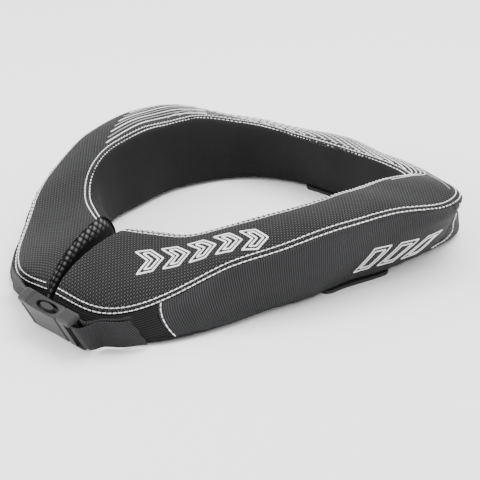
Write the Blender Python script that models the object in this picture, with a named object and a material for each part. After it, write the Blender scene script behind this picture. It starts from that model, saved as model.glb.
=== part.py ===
"""Race collar: a foam ring in a sewn cover, open at the front, where webbing and a buckle close it.

Metres, +Z up. The buckle is at the front, at -Y, and the collar lies on three patches under its base.
Left and right are as seen from the front, so the right arm is at +X.
"""

import math
from collections import namedtuple

import bmesh
import bpy
import numpy as np
from mathutils import Matrix, Vector

# Foam ring and its cover
NECK_RADIUS = 0.100  # from the ring's centre to the neck seam, at the front
PAD_WIDTH = 0.050  # from the neck seam to the outer seam, at the front
PAD_HEIGHT = 0.050  # of the pad beside the neck
CROWN = 0.004  # rise of the top cover between its two seams
SIDE_SWELL = 0.004  # how far the outer sides swell past their seams
LIP = 0.012  # how far the lining swells into the neck opening at the front
FOOT_SAG = 0.0135  # how far the foot of the right arm sags outwards
SAG_ANGLE, SAG_SPREAD = 26.0, 14.5  # degrees from the front
NECK_GAP = 0.024  # between the arm ends, at the neck
FRONT_GAP = 0.0074  # between the arm ends, at the front
COVER = 0.002  # padded cloth
SEAM_GAP = 0.0003  # between two pieces that are sewn together
LINING_GAP = 0.0004  # between the cloth and the foam
MESH_PAD = 0.003  # spacer mesh on the arm ends
MESH_SWELL = 0.4  # its crown, as a share of the half gap in front of it

# Patches under the base
PATCH = 0.0022
PATCH_PROUD = 0.0015
PATCH_START = 81.0  # degrees from the front
PATCH_END = 108.0
PATCH_DEPTH = 0.024  # across the pad
PATCH_CORNER = 0.005
BACK_PATCH_LENGTH = 0.040

# Seams of the outer side, in degrees from the front, at the outer seam and at the base
FRONT_SEAM_TOP, FRONT_SEAM_FOOT = 28.7, 33.2
REAR_SEAM_TOP, REAR_SEAM_FOOT = 114.6, 124.0

# Webbing
WEBBING_WIDTH = 0.019
WEBBING = 0.0015  # its thickness
STRAP_CLEAR = 0.0006  # between the webbing and the front panels
LAYER_GAP = 0.0009  # between the two layers of the right strap
STRAP_AHEAD = 0.0070  # from the right front panel to the right strap, where the strap leaves it
TAIL_CUT = 0.008  # how much shorter the tail's upper edge is
STRAP_SEWN_ANGLE = 25.0
TAIL_END_ANGLE = 26.8
STRAP_LEAVES_ANGLE = 20.2
STRAP_LEAN = math.radians(14)  # of the tail, outwards at its top
LEFT_SEWN_ANGLE = -15.0
LEFT_LEAVES_ANGLE = -12.0
LEFT_CROSSES_ANGLE = -7.5

# Buckle: its length lies along its own X, its face looks along -Y
BUCKLE_HEIGHT = 0.025
BUCKLE_DEPTH = 0.010
SOCKET_LENGTH = 0.037
CLIP_FACE = 0.008
CLIP_SLOT = 0.0027
BAR_RADIUS = 0.0019
SHELL = 0.002
FIT = 0.0003
WAIST = 0.0025  # how far its edges draw in at the windows
WAIST_LENGTH = 0.034
WINDOW_LENGTH = 0.021
WINDOW_WIDTH = 0.0072
BUTTON_LENGTH = 0.0125  # of the part of each prong that is pressed through its window
BUTTON_WIDTH = 0.0038
BUTTON_PROUD = 0.0012
SOCKET_ROUND = 0.0016
CLIP_ROUND = 0.0022
FACE_SLOT_WIDTH = 0.0016
FACE_SLOT_PLACE = 0.0044  # from the socket's end
BUCKLE_SIDE = 0.0245  # how far its middle lies to the right of the gap
BUCKLE_AHEAD = 0.022  # from the foot of the front panels to the middle of the buckle's face
BUCKLE_LEAN = math.radians(28)
BUCKLE_TURN = math.radians(-4)

# One row for each section. Angle is in degrees from the front, neck is a share of NECK_RADIUS,
# pad, base_in and base_out are shares of PAD_WIDTH, with base_in and base_out measured outwards
# from the seam above, both heights are shares of PAD_HEIGHT, lip of LIP and crown of CROWN.
Row = namedtuple("Row", "angle neck pad neck_height outer_height base_in base_out lip crown")
SECTIONS = (
    Row(0, 1.00, 1.03, 0.84, 0.24, -0.05, 0.04, 1.0, 2.0),
    Row(15, 0.94, 1.15, 0.84, 0.20, -0.02, 0.03, 1.0, 1.8),
    Row(30, 0.89, 0.95, 0.82, 0.40, -0.02, 0.14, 0.8, 1.4),
    Row(45, 0.86, 0.78, 0.92, 0.68, -0.02, 0.10, 0.4, 1.1),
    Row(60, 0.84, 0.72, 1.00, 0.80, -0.04, -0.08, 0.2, 1.0),
    Row(75, 0.84, 0.74, 1.04, 0.92, -0.05, -0.21, 0.2, 1.0),
    Row(90, 0.86, 0.82, 1.05, 0.97, -0.07, -0.35, 0.2, 1.0),
    Row(103, 0.91, 0.97, 1.05, 0.96, -0.07, -0.41, 0.2, 1.0),
    Row(113, 0.97, 1.18, 1.02, 0.89, -0.06, -0.55, 0.2, 1.0),
    Row(121, 1.05, 1.15, 1.00, 0.87, -0.12, -0.46, 0.2, 1.0),
    Row(130, 1.18, 0.80, 0.94, 0.80, -0.26, -0.02, 0.2, 1.0),
    Row(140, 1.27, 0.58, 0.82, 0.66, -0.30, 0.24, 0.2, 1.0),
    Row(150, 1.19, 0.56, 0.82, 0.65, -0.06, 0.25, 0.2, 1.0),
    Row(165, 1.10, 0.68, 0.81, 0.60, 0.14, 0.16, 0.2, 1.0),
    Row(180, 1.03, 0.92, 0.84, 0.60, 0.24, 0.00, 0.2, 1.0),
)

# Panels round the section, up the lining, over the top, down the side and back under the base,
# each with the number of faces across it
PANELS = (("lining", 5), ("top", 6), ("side", 5), ("base", 3))
FRONT_STATIONS, SIDE_STATIONS, REAR_STATIONS = 5, 16, 14
FINE_STEPS = 240  # for measuring along the outer seam
PATCH_STEPS = 10
STRAP_STEPS = 3  # between two given places
BEND_STEPS = 6  # of webbing round a bar
BASE_Z = PATCH + SEAM_GAP


def clear_scene():
    for thing in list(bpy.data.objects):
        bpy.data.objects.remove(thing)


def material(name, colour, roughness, metallic=0.0):
    made = bpy.data.materials.new(name)
    made.use_nodes = True
    shader = made.node_tree.nodes["Principled BSDF"]
    shader.inputs["Base Color"].default_value = (*colour, 1)
    shader.inputs["Roughness"].default_value = roughness
    shader.inputs["Metallic"].default_value = metallic
    return made


def add_object(name, bm, finish):
    """Turns every face outwards, and puts the mesh into the scene."""
    bmesh.ops.recalc_face_normals(bm, faces=bm.faces)
    if bm.calc_volume(signed=True) < 0:
        bmesh.ops.reverse_faces(bm, faces=bm.faces)
    mesh = bpy.data.meshes.new(name)
    bm.to_mesh(mesh)
    bm.free()
    mesh.materials.append(finish)
    made = bpy.data.objects.new(name, mesh)
    bpy.context.scene.collection.objects.link(made)
    return made


def spline(knots, values, at):
    """A cubic through the knots that runs level at both ends, so that the mirrored half follows on."""
    knots = np.asarray(knots, float)
    values = np.asarray(values, float)
    gap = np.diff(knots)
    rise = np.diff(values) / gap
    count = len(knots)
    smooth = np.eye(count)
    wanted = np.zeros(count)
    for i in range(1, count - 1):
        smooth[i, i - 1 : i + 2] = gap[i], 2 * (gap[i - 1] + gap[i]), gap[i - 1]
        wanted[i] = 3 * (gap[i] * rise[i - 1] + gap[i - 1] * rise[i])
    slope = np.linalg.solve(smooth, wanted)
    i = np.clip(np.searchsorted(knots, at) - 1, 0, count - 2)
    t = (at - knots[i]) / gap[i]
    start = values[i] * (1 + 2 * t) * (1 - t) ** 2 + slope[i] * gap[i] * t * (1 - t) ** 2
    end = values[i + 1] * (3 - 2 * t) * t**2 + slope[i + 1] * gap[i] * (t - 1) * t**2
    return start + end


def share(column, angle):
    """A column of SECTIONS at any angle, which is in degrees from the front on either side."""
    knots = [row.angle for row in SECTIONS]
    return spline(knots, [getattr(row, column) for row in SECTIONS], np.abs(angle))


def corners(angle):
    """Radius and height above the base of the section's four corners at an angle."""
    neck = NECK_RADIUS * share("neck", angle)
    outer = neck + PAD_WIDTH * share("pad", angle)
    return {
        "neck seam": (neck, PAD_HEIGHT * share("neck_height", angle)),
        "outer seam": (outer, PAD_HEIGHT * share("outer_height", angle)),
        "outer base": (outer + PAD_WIDTH * share("base_out", angle), 0 * neck),
        "inner base": (neck + PAD_WIDTH * share("base_in", angle), 0 * neck),
    }


def swell(t):
    """0 at a seam, 1 midway, and steeper at the seams than a sine."""
    return (4 * t * (1 - t)) ** 0.75


def foot_sag(angle, sag):
    """How far an arm's foot has sagged outwards at an angle."""
    return sag * np.exp(-(((angle - SAG_ANGLE) / SAG_SPREAD) ** 2))


def section_point(panel, t, angle, sag=0.0):
    """Radius and height of the point a share t of the way across a panel."""
    corner = corners(angle)
    ends = {
        "lining": ("inner base", "neck seam"),
        "top": ("neck seam", "outer seam"),
        "side": ("outer seam", "outer base"),
        "base": ("outer base", "inner base"),
    }[panel]
    (r0, z0), (r1, z1) = corner[ends[0]], corner[ends[1]]
    r = r0 + (r1 - r0) * t
    z = z0 + (z1 - z0) * t
    if panel == "lining":
        r = r - LIP * share("lip", angle) * swell(t)
    if panel == "top":
        z = z + CROWN * share("crown", angle) * swell(t)
    if panel == "side":
        r = r + SIDE_SWELL * share("outer_height", angle) * swell(t) + foot_sag(angle, sag) * t**1.5
    if panel == "base":
        r = r + foot_sag(angle, sag) * (1 - t)
    return r, z


def section_shares():
    return [(panel, k / count) for panel, count in PANELS for k in range(count)]


POINTS = section_shares()
PANEL_START = {panel: [p for p, _ in POINTS].index(panel) for panel, _ in PANELS}
PANEL_END = {panel: PANEL_START[panel] + count for panel, count in PANELS}


def seam_angle(at_top, at_foot):
    """A seam that slants down the outer side: its angle at each point of the section."""
    slant = {"lining": lambda t: 0, "top": lambda t: 0, "side": lambda t: t, "base": lambda t: 1 - t}
    return np.array([at_top + (at_foot - at_top) * slant[panel](t) for panel, t in POINTS])


def half_gap(y):
    """Half the gap between the arms at a place y in front of the ring's centre."""
    ahead = (-y - NECK_RADIUS) / PAD_WIDTH
    return (NECK_GAP + (FRONT_GAP - NECK_GAP) * ahead) / 2


def end_angle(sag):
    """The angle at which each point of the section meets the plane of the arm's end."""
    angle = np.full(len(POINTS), 3.0)  # a first guess, which each turn below corrects
    for _ in range(12):
        r = np.array([section_point(panel, t, a, sag)[0] for (panel, t), a in zip(POINTS, angle)])
        angle = np.degrees(np.arcsin(half_gap(-r * np.cos(np.radians(angle))) / r))
    return angle


def even_steps(start, end, count):
    """Shares of the way from start to end, closer together where the outer seam turns sharply."""
    fine = np.linspace(0, 1, FINE_STEPS)
    angle = start + (end - start) * fine
    r = corners(angle)["outer seam"][0]
    x, y = r * np.sin(np.radians(angle)), -r * np.cos(np.radians(angle))
    step = np.hypot(np.diff(x), np.diff(y))
    turn = np.abs(np.diff(np.unwrap(np.arctan2(np.diff(y), np.diff(x)))))
    effort = step / step.sum() + np.append(turn, 0) / max(turn.sum(), 1e-9)
    passed = np.append(0, np.cumsum(effort))
    return np.interp(np.linspace(0, passed[-1], count + 1), passed, fine)


def station_angles(sag):
    """Angle of every point of every station, from an arm's end to the middle of the back."""
    lines = (
        end_angle(sag),
        seam_angle(FRONT_SEAM_TOP, FRONT_SEAM_FOOT),
        seam_angle(REAR_SEAM_TOP, REAR_SEAM_FOOT),
        np.full(len(POINTS), 180.0),
    )
    rows = [lines[0]]
    for before, after, count in zip(lines, lines[1:], (FRONT_STATIONS, SIDE_STATIONS, REAR_STATIONS)):
        for t in even_steps(before.mean(), after.mean(), count)[1:]:
            rows.append(before + (after - before) * t)
    return np.array(rows)


def offset_panel(outline, panel, depth):
    """One panel's line moved inwards, without regard to its neighbours, and its faces' normals."""
    line = outline[[k % len(outline) for k in range(PANEL_START[panel], PANEL_END[panel] + 1)]]
    along = np.diff(line, axis=0)
    normal = np.stack([along[:, 1], -along[:, 0]], 1) / np.linalg.norm(along, axis=1)[:, None]
    at_points = np.concatenate([normal[:1], normal[:-1] + normal[1:], normal[-1:]])
    at_points /= np.linalg.norm(at_points, axis=1)[:, None]
    return line + depth * at_points, normal


def inset(outline, depth):
    """The section's outline moved inwards by a depth, with mitred corners and no folds beside them."""
    if depth == 0:
        return outline
    names = [panel for panel, _ in PANELS]
    moved = {panel: offset_panel(outline, panel, depth) for panel in names}
    made = np.empty_like(outline)
    for before, panel, after in zip(names[-1:] + names, names, names[1:] + names[:1]):
        line, normal = moved[panel]
        ends = []
        for at, other in ((0, moved[before][1][-1]), (-1, moved[after][1][0])):
            corner = line[at] - depth * normal[at]
            ends.append(corner + depth * (normal[at] + other) / (1 + normal[at] @ other))
        passed = np.append(0, np.cumsum(np.linalg.norm(np.diff(line, axis=0), axis=1)))
        start = np.linalg.norm(ends[0] - line[0])
        stop = passed[-1] - np.linalg.norm(ends[1] - line[-1])
        wanted = np.linspace(start, stop, len(line))[:-1]
        within = [np.interp(wanted, passed, line[:, axis]) for axis in (0, 1)]
        made[PANEL_START[panel] : PANEL_END[panel]] = np.stack(within, 1)
        made[PANEL_START[panel]] = ends[0]
    return made


def half_ring(depth, sag):
    """Points [station, point, xyz] of the right half of the ring, from the arm's end to the back."""
    angle = station_angles(sag)
    columns = [section_point(panel, t, angle[:, k], sag) for k, (panel, t) in enumerate(POINTS)]
    outlines = np.stack([np.stack(part, 1) for part in zip(*columns)], 2)
    r, z = np.moveaxis(np.array([inset(outline, depth) for outline in outlines]), 2, 0)
    turn = np.radians(angle)
    return np.stack([r * np.sin(turn), -r * np.cos(turn), z + BASE_Z], 2)


def ring_surface(depth=0.0):
    """The whole ring, from the right arm's end to the left one's, which is a mirror image but for the sag."""
    return np.concatenate([half_ring(depth, FOOT_SAG), half_ring(depth, 0.0)[-2::-1] * (-1, 1, 1)])


def moved_on(points, towards, distance):
    """Points moved a distance along the straight lines to others."""
    way = towards - points
    return points + way * (distance / np.linalg.norm(way, axis=-1, keepdims=True))


def sheet(bm, grid, around=False):
    """Triangles over a grid of vertices, all with the same diagonal, so that two sheets stay apart."""
    for row, after in zip(grid, grid[1:]):
        count = len(row)
        for k in range(count if around else count - 1):
            n = (k + 1) % count
            bm.faces.new((row[k], after[n], after[k]))
            bm.faces.new((row[k], row[n], after[n]))


def vertices(bm, points):
    return [[bm.verts.new(p) for p in row] for row in points]


def fan(bm, loop, centre):
    """Closes a loop of vertices with triangles round one point."""
    middle = bm.verts.new(centre)
    for a, b in zip(loop, loop[1:] + loop[:1]):
        bm.faces.new((a, b, middle))


def panel_skin(name, panel, first, last, finish):
    """One panel of the cover between two stations, clear of the next panels by the seam gap."""
    columns = [k % len(POINTS) for k in range(PANEL_START[panel], PANEL_END[panel] + 1)]
    stations = len(ring_surface())
    faces = []
    for surface in (ring_surface(), ring_surface(COVER)):
        part = surface[first : last + 1][:, columns]
        trimmed = part.copy()
        trimmed[:, 0] = moved_on(part[:, 0], part[:, 1], SEAM_GAP / 2)
        trimmed[:, -1] = moved_on(part[:, -1], part[:, -2], SEAM_GAP / 2)
        if first > 0:
            trimmed[0] = moved_on(trimmed[0], trimmed[1], SEAM_GAP / 2)
        if last < stations - 1:
            trimmed[-1] = moved_on(trimmed[-1], trimmed[-2], SEAM_GAP / 2)
        faces.append(trimmed)
    bm = bmesh.new()
    outside, inside = vertices(bm, faces[0]), vertices(bm, faces[1])
    for grid in (outside, inside):
        sheet(bm, grid)
    for k in (0, -1):
        sheet(bm, [[row[k] for row in outside], [row[k] for row in inside]])
        sheet(bm, [outside[k], inside[k]])
    return add_object(name, bm, finish)


def foam_core(finish):
    """The foam ring inside the cover, shorter than it by the mesh pads on its ends."""
    surface = ring_surface(COVER + LINING_GAP)
    back = MESH_PAD + LINING_GAP
    surface[0] = moved_on(surface[0], surface[1], back)
    surface[-1] = moved_on(surface[-1], surface[-2], back)
    bm = bmesh.new()
    grid = vertices(bm, surface)
    sheet(bm, grid, around=True)
    for k in (0, -1):
        fan(bm, grid[k], surface[k].mean(0))
    return add_object("foam_core", bm, finish)


def end_mesh(name, side, finish):
    """The pad of spacer mesh on one arm's end, flush with the cover at its rim and crowned."""
    surface = ring_surface(COVER + LINING_GAP)
    rim, beyond = (surface[0], surface[1]) if side > 0 else (surface[-1], surface[-2])
    centre = rim.mean(0)
    rings = [moved_on(rim, beyond, MESH_PAD), rim]
    for inwards, rise in ((0.80, 0.55), (0.45, 0.92)):
        ring = centre + (rim - centre) * inwards
        ring[:, 0] -= side * half_gap(ring[:, 1]) * MESH_SWELL * rise
        rings.append(ring)
    top = centre - (side * half_gap(centre[1]) * MESH_SWELL, 0, 0)
    bm = bmesh.new()
    grid = vertices(bm, rings)
    sheet(bm, grid, around=True)
    fan(bm, grid[0], rings[0].mean(0))
    fan(bm, grid[-1], top)
    return add_object(name, bm, finish)


def rounded_end(distance):
    """How far a patch's edge draws in at a distance from its end, for a round corner."""
    short = 1 - min(distance / PATCH_CORNER, 1)
    return PATCH_CORNER * (1 - math.sqrt(1 - short**2))


def patch(name, start, end, radii, length, finish):
    """A flat patch under the base between two angles, with radii(angle) giving its two edges."""
    rows = []
    for k in range(PATCH_STEPS + 1):
        t = (1 - math.cos(math.pi * k / PATCH_STEPS)) / 2
        angle = start + (end - start) * t
        inner, outer = radii(angle)
        draw = rounded_end(length * min(t, 1 - t))
        turn = math.radians(angle)
        out = np.array((math.sin(turn), -math.cos(turn), 0))
        low_in, low_out = out * (inner + draw), out * (outer - draw)
        lift = np.array((0, 0, PATCH))
        rows.append([low_in, low_out, low_out + lift, low_in + lift])
    bm = bmesh.new()
    grid = vertices(bm, rows)
    sheet(bm, grid, around=True)
    bm.faces.new(grid[0])
    bm.faces.new(grid[-1])
    return add_object(name, bm, finish)


def side_patch_edges(angle):
    outer = corners(angle)["outer base"][0] + PATCH_PROUD
    return outer - PATCH_DEPTH, outer


def back_patch_edges(angle):
    inner = corners(angle)["inner base"][0] - PATCH_PROUD
    return inner, inner + PATCH_DEPTH


def mirrored_back_edges(angle):
    return back_patch_edges(180 - abs(180 - angle))


def add_patches(finish):
    length = math.radians(PATCH_END - PATCH_START) * corners(PATCH_START)["outer base"][0]
    patch("grip_patch_right", PATCH_START, PATCH_END, side_patch_edges, length, finish)
    patch("grip_patch_left", -PATCH_START, -PATCH_END, side_patch_edges, length, finish)
    half = math.degrees(BACK_PATCH_LENGTH / 2 / corners(180.0)["inner base"][0])
    patch("grip_patch_back", 180 - half, 180 + half, mirrored_back_edges, BACK_PATCH_LENGTH, finish)


def buckle_frame():
    """Places the buckle, whose own origin is the middle of its face."""
    foot = corners(0.0)["outer base"][0] + BUCKLE_AHEAD
    turn = Matrix.Rotation(BUCKLE_TURN, 4, "Z") @ Matrix.Rotation(BUCKLE_LEAN, 4, "X")
    lowest = min((turn @ Vector((0, y, -BUCKLE_HEIGHT / 2))).z for y in (0, BUCKLE_DEPTH))
    return Matrix.Translation((BUCKLE_SIDE, -foot, SEAM_GAP - lowest)) @ turn


SOCKET_END = -(SOCKET_LENGTH + CLIP_FACE) / 2
MOUTH = SOCKET_END + SOCKET_LENGTH
CLIP_BODY_END = MOUTH + CLIP_FACE
BAR_X = CLIP_BODY_END + CLIP_SLOT + BAR_RADIUS
SOCKET_BAR_X = SOCKET_END + SHELL + WEBBING + BAR_RADIUS
BAR_Y = BUCKLE_DEPTH / 2
WINDOW_X = MOUTH - SHELL - WINDOW_LENGTH / 2
SOCKET_BAR_Y = BUCKLE_DEPTH - BAR_RADIUS - WEBBING
RAIL = (BUCKLE_HEIGHT - WEBBING_WIDTH) / 2 - FIT
INSIDE = BUCKLE_HEIGHT / 2 - WAIST - SHELL  # half the height of the hollow in the socket


def box(name, x, y, z):
    """A box between two values on each axis."""
    bm = bmesh.new()
    bmesh.ops.create_cube(bm, size=1)
    for v in bm.verts:
        v.co = [(low + high) / 2 + (high - low) * c for (low, high), c in zip((x, y, z), v.co)]
    return add_object(name, bm, PLASTIC)


def rounded_box(name, x, y, z, radius):
    made = box(name, x, y, z)
    bevel = made.modifiers.new("rounded edges", "BEVEL")
    bevel.width = radius
    bevel.segments = 3
    bevel.limit_method = "ANGLE"
    return made


def prism(name, outline, low, high, axis):
    """An outline of (x, across) points pushed from low to high along Y or Z."""
    bm = bmesh.new()
    rings = []
    for level in (low, high):
        rings.append([(x, level, c) if axis == "Y" else (x, c, level) for x, c in outline])
    grid = vertices(bm, rings)
    sheet(bm, grid, around=True)
    bm.faces.new(grid[0])
    bm.faces.new(grid[1])
    return add_object(name, bm, PLASTIC)


def oval(middle_x, middle_c, length, width, sides=14):
    turns = [2 * math.pi * k / sides for k in range(sides)]
    return [(middle_x + length / 2 * math.cos(a), middle_c + width / 2 * math.sin(a)) for a in turns]


def combine(made, other, operation):
    """Adds a Boolean, and hides the shape that it uses."""
    change = made.modifiers.new(f"{operation.lower()} {other.name}", "BOOLEAN")
    change.operation = operation
    change.object = other
    change.solver = "EXACT"
    other.hide_render = True
    other.display_type = "WIRE"


def socket():
    """The half with the windows: a shell open at its mouth, with the webbing's bar behind its face."""
    half, deep = BUCKLE_HEIGHT / 2, BUCKLE_DEPTH
    made = rounded_box("buckle_socket", (SOCKET_END, MOUTH), (0, deep), (-half, half), SOCKET_ROUND)
    hollow_end = WINDOW_X - WINDOW_LENGTH / 2 - SHELL
    hollow = (hollow_end, MOUTH + SHELL)
    combine(made, box("hollow", hollow, (SHELL, deep - SHELL), (-INSIDE, INSIDE)), "DIFFERENCE")
    for side, edge in (("upper", half), ("lower", -half)):
        waist = oval(WINDOW_X, edge, WAIST_LENGTH, 2 * WAIST)
        combine(made, prism(f"{side}_waist", waist, -SHELL, deep + SHELL, "Y"), "DIFFERENCE")
    window = oval(WINDOW_X, deep / 2, WINDOW_LENGTH, WINDOW_WIDTH)
    combine(made, prism("windows", window, -half - SHELL, half + SHELL, "Z"), "DIFFERENCE")
    reach = WEBBING_WIDTH / 2 + FIT
    recess = (SOCKET_END - SHELL, SOCKET_BAR_X + BAR_RADIUS + 2 * WEBBING)
    combine(made, box("recess", recess, (SHELL, deep + SHELL), (-reach, reach)), "DIFFERENCE")
    slot_x = SOCKET_END + FACE_SLOT_PLACE
    slot = (slot_x - FACE_SLOT_WIDTH / 2, slot_x + FACE_SLOT_WIDTH / 2)
    combine(made, box("face_slot", slot, (-SHELL, 2 * SHELL), (-reach, reach)), "DIFFERENCE")
    bar = oval(SOCKET_BAR_X, SOCKET_BAR_Y, 2 * BAR_RADIUS, 2 * BAR_RADIUS, 10)
    combine(made, prism("socket_bar", bar, -reach - SHELL, reach + SHELL, "Z"), "UNION")
    return made


def clip():
    """The half with the prongs: a body that meets the socket, two rails and the bar for the webbing."""
    half, deep = BUCKLE_HEIGHT / 2, BUCKLE_DEPTH
    body = (MOUTH + FIT, BAR_X + BAR_RADIUS)
    made = rounded_box("buckle_clip", body, (0, deep), (-half, half), CLIP_ROUND)
    reach = half - RAIL
    opening = (CLIP_BODY_END, BAR_X + 2 * BAR_RADIUS)
    combine(made, box("webbing_slot", opening, (-SHELL, deep + SHELL), (-reach, reach)), "DIFFERENCE")
    bar = oval(BAR_X, BAR_Y, 2 * BAR_RADIUS, 2 * BAR_RADIUS, 10)
    combine(made, prism("clip_bar", bar, -reach - RAIL / 2, reach + RAIL / 2, "Z"), "UNION")
    thick = (SHELL + FIT, deep - SHELL - FIT)
    along = (WINDOW_X - WINDOW_LENGTH / 2, CLIP_BODY_END - SHELL)
    tip = INSIDE - FIT
    button = oval(WINDOW_X, deep / 2, BUTTON_LENGTH, BUTTON_WIDTH)
    for sign, side in ((1, "upper"), (-1, "lower")):
        prong = sorted((sign * tip, sign * (tip - SHELL)))
        combine(made, box(f"{side}_prong", along, thick, prong), "UNION")
        rise = sorted((sign * (tip - SHELL / 2), sign * (half - WAIST + BUTTON_PROUD)))
        combine(made, prism(f"{side}_button", button, *rise, "Z"), "UNION")
    combine(made, box("guide", along, thick, (-SHELL, SHELL)), "UNION")
    return made


def follow(points):
    """A smooth curve through points, each a centre and a direction across the webbing."""
    rows = np.array([[*centre, *across] for centre, across in points])
    length = np.linalg.norm(np.diff(rows[:, :3], axis=0), axis=1)[:, None]
    pace = np.diff(rows, axis=0) / length
    inner = (pace[:-1] * length[1:] + pace[1:] * length[:-1]) / (length[1:] + length[:-1])
    slope = np.concatenate([pace[:1], inner, pace[-1:]])
    made = []
    for k, span in enumerate(length):
        for t in np.arange(STRAP_STEPS) / STRAP_STEPS:
            start = rows[k] * (1 + 2 * t) * (1 - t) ** 2 + slope[k] * span * t * (1 - t) ** 2
            made.append(start + rows[k + 1] * (3 - 2 * t) * t**2 + slope[k + 1] * span * (t - 1) * t**2)
    made.append(rows[-1])
    return [(Vector(row[:3]), Vector(row[3:]).normalized()) for row in made]


def webbing(name, points, finish, cut=0.0):
    """A flat strap along a curve. A cut slants its last end, and the rows before it less and less."""
    path = follow(points)
    last = len(path) - 1
    rows = []
    for k, (centre, across) in enumerate(path):
        ahead = (path[min(k + 1, last)][0] - path[max(k - 1, 0)][0]).normalized()
        out = ahead.cross(across) * WEBBING / 2
        slant = cut * max(0, 1 - (last - k) / (2 * STRAP_STEPS))
        wide = (across * WEBBING_WIDTH - ahead * slant) / 2
        rows.append([centre - out - wide, centre + out - wide, centre + out + wide, centre - out + wide])
    bm = bmesh.new()
    grid = vertices(bm, rows)
    sheet(bm, grid, around=True)
    bm.faces.new(grid[0])
    bm.faces.new(grid[-1])
    return add_object(name, bm, finish)


def beside_panel(angle, clear, lean=0.0):
    """A place for webbing in front of the front panels, standing on the patches' level."""
    sag = FOOT_SAG if angle > 0 else 0.0
    r = section_point("side", 1.0, angle, sag)[0] + clear + WEBBING / 2
    turn = math.radians(angle)
    out = Vector((math.sin(turn), -math.cos(turn), 0))
    across = Vector((0, 0, math.cos(lean))) + out * math.sin(lean)
    foot = out * r + Vector((0, 0, BASE_Z))
    return foot + across * WEBBING_WIDTH / 2, across


def on_buckle(frame, x, y):
    """A place for webbing at the buckle, in the buckle's own plane."""
    return frame @ Vector((x, y, 0)), frame.to_3x3() @ Vector((0, 0, 1))


def round_bar(frame, x, y, side):
    """Half a turn of webbing about a bar, from behind it to its front, with a straight lead each way."""
    radius = BAR_RADIUS + FIT + WEBBING / 2
    turn = [math.pi * (1 - k / BEND_STEPS) for k in range(BEND_STEPS + 1)]
    bend = [(x + side * radius * math.sin(a), y - radius * math.cos(a)) for a in turn]
    lead = x - side * 3 * BAR_RADIUS
    return [on_buckle(frame, *at) for at in [(lead, y + radius), *bend, (lead, y - radius)]]


def strap_right(finish):
    """From the right front panel, behind the clip's bar, round it and back to the free tail."""
    frame = buckle_frame()
    middle_angle = (TAIL_END_ANGLE + STRAP_LEAVES_ANGLE) / 2
    middle_clear = STRAP_CLEAR + STRAP_AHEAD / 2
    inner_layer = [
        beside_panel(STRAP_SEWN_ANGLE, STRAP_CLEAR, 0.6 * STRAP_LEAN),
        beside_panel(middle_angle, middle_clear, 0.7 * STRAP_LEAN),
        beside_panel(STRAP_LEAVES_ANGLE, STRAP_AHEAD, 0.8 * STRAP_LEAN),
    ]
    turn = round_bar(frame, BAR_X, BAR_Y, -1)
    tail = WEBBING + LAYER_GAP
    outer_layer = [
        beside_panel(STRAP_LEAVES_ANGLE, STRAP_AHEAD + tail, STRAP_LEAN),
        beside_panel(middle_angle, middle_clear + tail, STRAP_LEAN),
        beside_panel(TAIL_END_ANGLE, STRAP_CLEAR + tail, STRAP_LEAN),
    ]
    return webbing("strap_right", inner_layer + turn + outer_layer, finish, TAIL_CUT)


def strap_left(finish):
    """From the left front panel across the gap, round the socket's bar and back on itself."""
    frame = buckle_frame()
    panel = [
        beside_panel(LEFT_SEWN_ANGLE, STRAP_CLEAR),
        beside_panel(LEFT_LEAVES_ANGLE, STRAP_CLEAR, STRAP_LEAN / 2),
        beside_panel(LEFT_CROSSES_ANGLE, 2 * STRAP_CLEAR, STRAP_LEAN),
    ]
    turn = round_bar(frame, SOCKET_BAR_X, SOCKET_BAR_Y, 1)
    return webbing("strap_left", panel + turn[:-1], finish)


def set_down(nodes):
    """Puts the middle of the collar's footprint at the origin, with its lowest point at zero."""
    bpy.context.view_layer.update()
    graph = bpy.context.evaluated_depsgraph_get()
    places = []
    for node in nodes:
        seen = node.evaluated_get(graph)
        places += [node.matrix_world @ Vector(corner) for corner in seen.bound_box]
    low = Vector(min(p[axis] for p in places) for axis in range(3))
    high = Vector(max(p[axis] for p in places) for axis in range(3))
    shift = Vector((-(low.x + high.x) / 2, -(low.y + high.y) / 2, -low.z))
    for thing in bpy.data.objects:
        thing.location += shift


clear_scene()
WOVEN = material("woven nylon", (0.055, 0.055, 0.058), 0.75)
SMOOTH = material("smooth lining", (0.012, 0.012, 0.014), 0.85)
RIBBED = material("ribbed cloth", (0.060, 0.060, 0.064), 0.8)
FOAM = material("foam", (0.30, 0.30, 0.29), 0.9)
MESH = material("spacer mesh", (0.12, 0.12, 0.12), 0.8)
RUBBER = material("grip rubber", (0.010, 0.010, 0.011), 0.7)
WEB = material("webbing", (0.045, 0.045, 0.047), 0.7)
PLASTIC = material("moulded plastic", (0.17, 0.17, 0.18), 0.35)

BACK = FRONT_STATIONS + SIDE_STATIONS + REAR_STATIONS
FRONT_SEAM, REAR_SEAM = FRONT_STATIONS, FRONT_STATIONS + SIDE_STATIONS
END = 2 * BACK

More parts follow.
